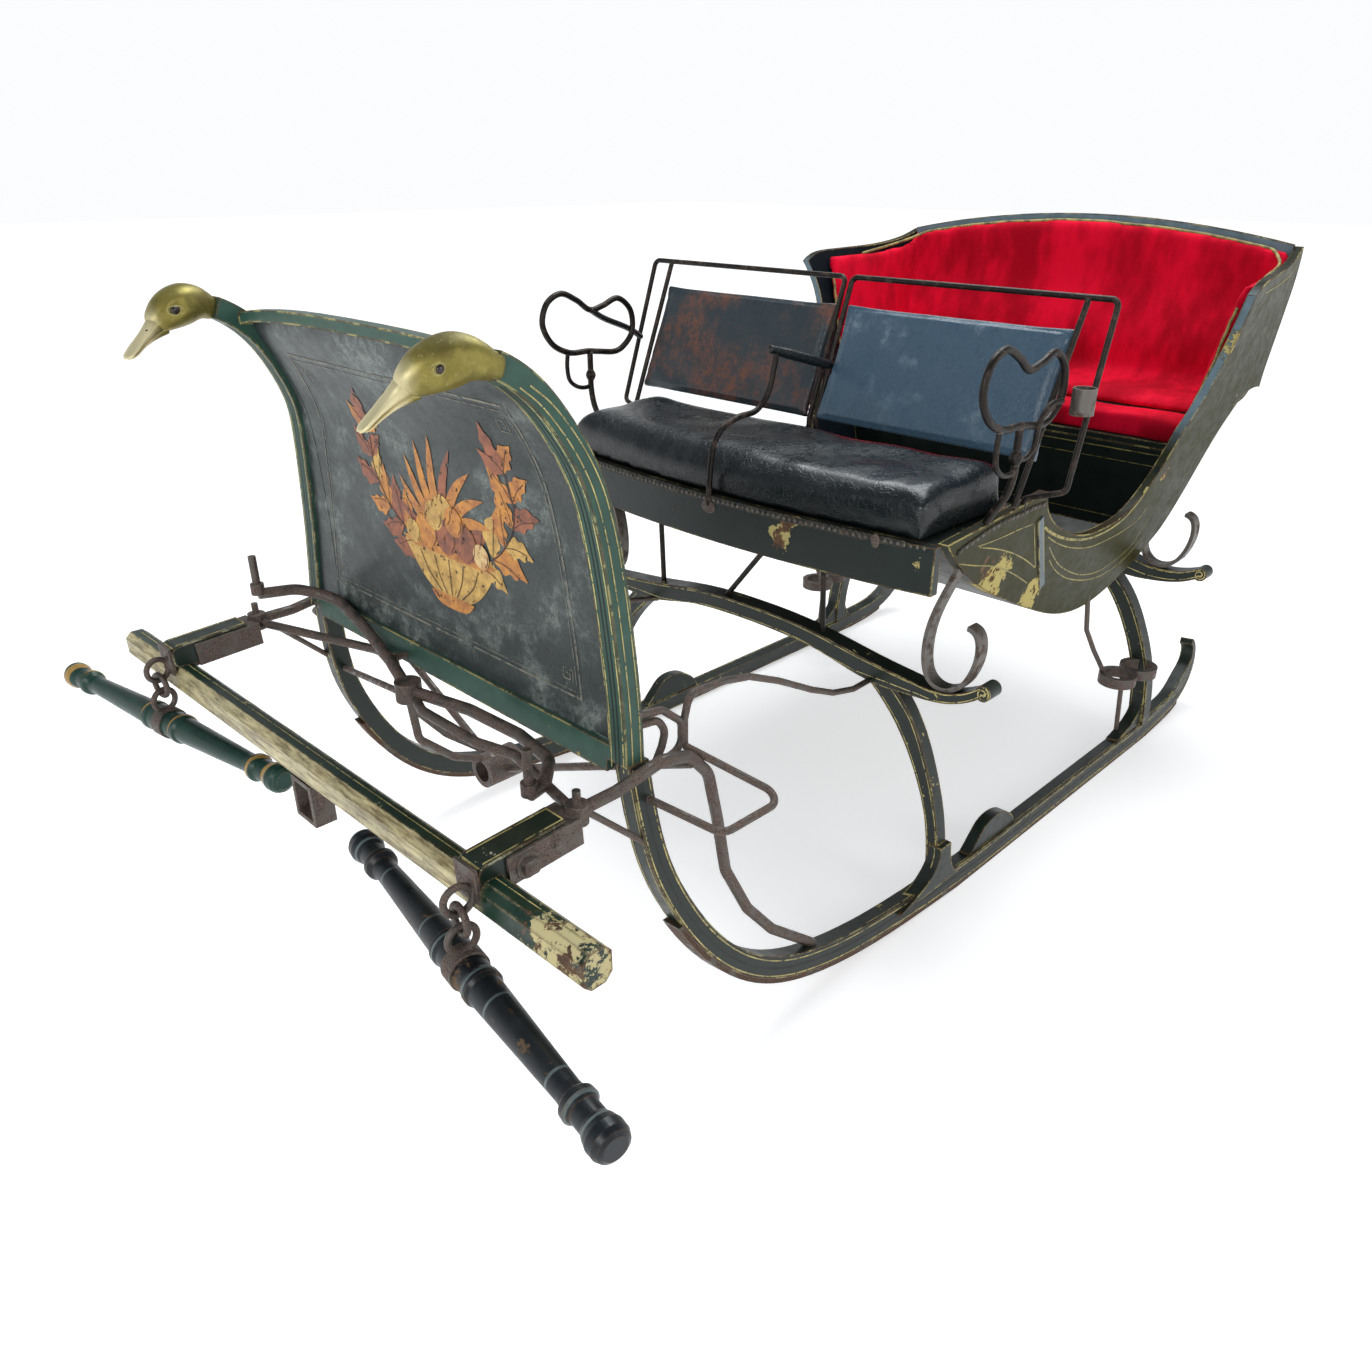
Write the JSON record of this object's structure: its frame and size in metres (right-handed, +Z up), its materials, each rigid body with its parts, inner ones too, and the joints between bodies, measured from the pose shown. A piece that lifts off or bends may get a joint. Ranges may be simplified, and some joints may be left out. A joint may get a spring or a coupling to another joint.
{
  "type": "horse-drawn sleigh",
  "caption": "Horse-drawn sleigh on bent wooden runners, with a curved dash, bird-head finials, a driver's bench on irons, swinging singletrees and an upholstered rear tub.",
  "frame": {"origin": "on the ground, at the middle of the sleigh's length and width", "axes": "+X towards the sleigh's own left, -Y forwards, +Z up"},
  "size_m": [1.645, 2.5017, 1.2759],
  "materials": {
    "frame_green": "painted dark green, striped, chipped",
    "dash_leather": "mottled",
    "brass": "aged",
    "body_green": "painted olive green",
    "board_teal": "painted dark teal",
    "leather": "glossy, cracked",
    "velvet": "velvet",
    "draft_wood": "painted green, chipped",
    "turned_wood": "painted, worn",
    "shoe_steel": "worn",
    "grey_steel": "dull",
    "iron": "rusty"
  },
  "bodies": {
    "sleigh": {"arm_loop_left": "iron", "arm_loop_right": "iron", "backrest_left": "leather", "backrest_right": "leather", "centre_arm": "iron", "crossbar": "draft_wood", "dash_frame": "frame_green", "dash_panel": "dash_leather", "draft_block_left": "draft_wood", "draft_block_right": "draft_wood", "draft_iron_left": "iron", "draft_iron_right": "iron", "driver_cushion": "leather", "driver_step_left": "iron", "driver_step_right": "iron", "duck_head_left": "brass", "duck_head_right": "brass", "front_body_iron_left": "iron", "front_body_iron_right": "iron", "front_bolster": "frame_green", "front_leg_left": "frame_green", "front_leg_right": "frame_green", "hook_bar": "iron", "link_left": "iron", "link_right": "iron", "nose_eye_left": "iron", "nose_eye_right": "iron", "passenger_step_left": "iron", "passenger_step_right": "iron", "pole_loop": "iron", "pole_socket": "iron", "pole_socket_stays": "iron", "rear_body_iron_left": "iron", "rear_body_iron_right": "iron", "rear_bolster": "frame_green", "rear_cushion": "velvet", "rear_leg_left": "frame_green", "rear_leg_right": "frame_green", "rear_seat_board": "board_teal", "rear_seat_riser": "board_teal", "runner_left": "frame_green", "runner_right": "frame_green", "seat_deck": "board_teal", "seat_front_board": "board_teal", "seat_rail_left": "iron", "seat_rail_right": "iron", "seat_stays": "iron", "shoe_left": "shoe_steel", "shoe_right": "shoe_steel", "tub_back": "body_green", "tub_bulkhead": "board_teal", "tub_floor": "body_green", "tub_lining": "velvet", "tub_side_left": "body_green", "tub_side_right": "body_green", "whip_socket": "grey_steel"},
    "singletree_left": {"singletree_clip_left": "iron", "singletree_left": "turned_wood"},
    "singletree_right": {"singletree_clip_right": "iron", "singletree_right": "turned_wood"}
  },
  "joints": [
    {"name": "singletree_left_swing", "type": "hinge", "parent": "sleigh", "child": "singletree_left", "pos_m": [0.472, -1.179, 0.54], "axis": [0, 0, 1], "range_deg": [-35, 35]},
    {"name": "singletree_right_swing", "type": "hinge", "parent": "sleigh", "child": "singletree_right", "pos_m": [-0.472, -1.179, 0.54], "axis": [0, 0, 1], "range_deg": [-35, 35]}
  ]
}
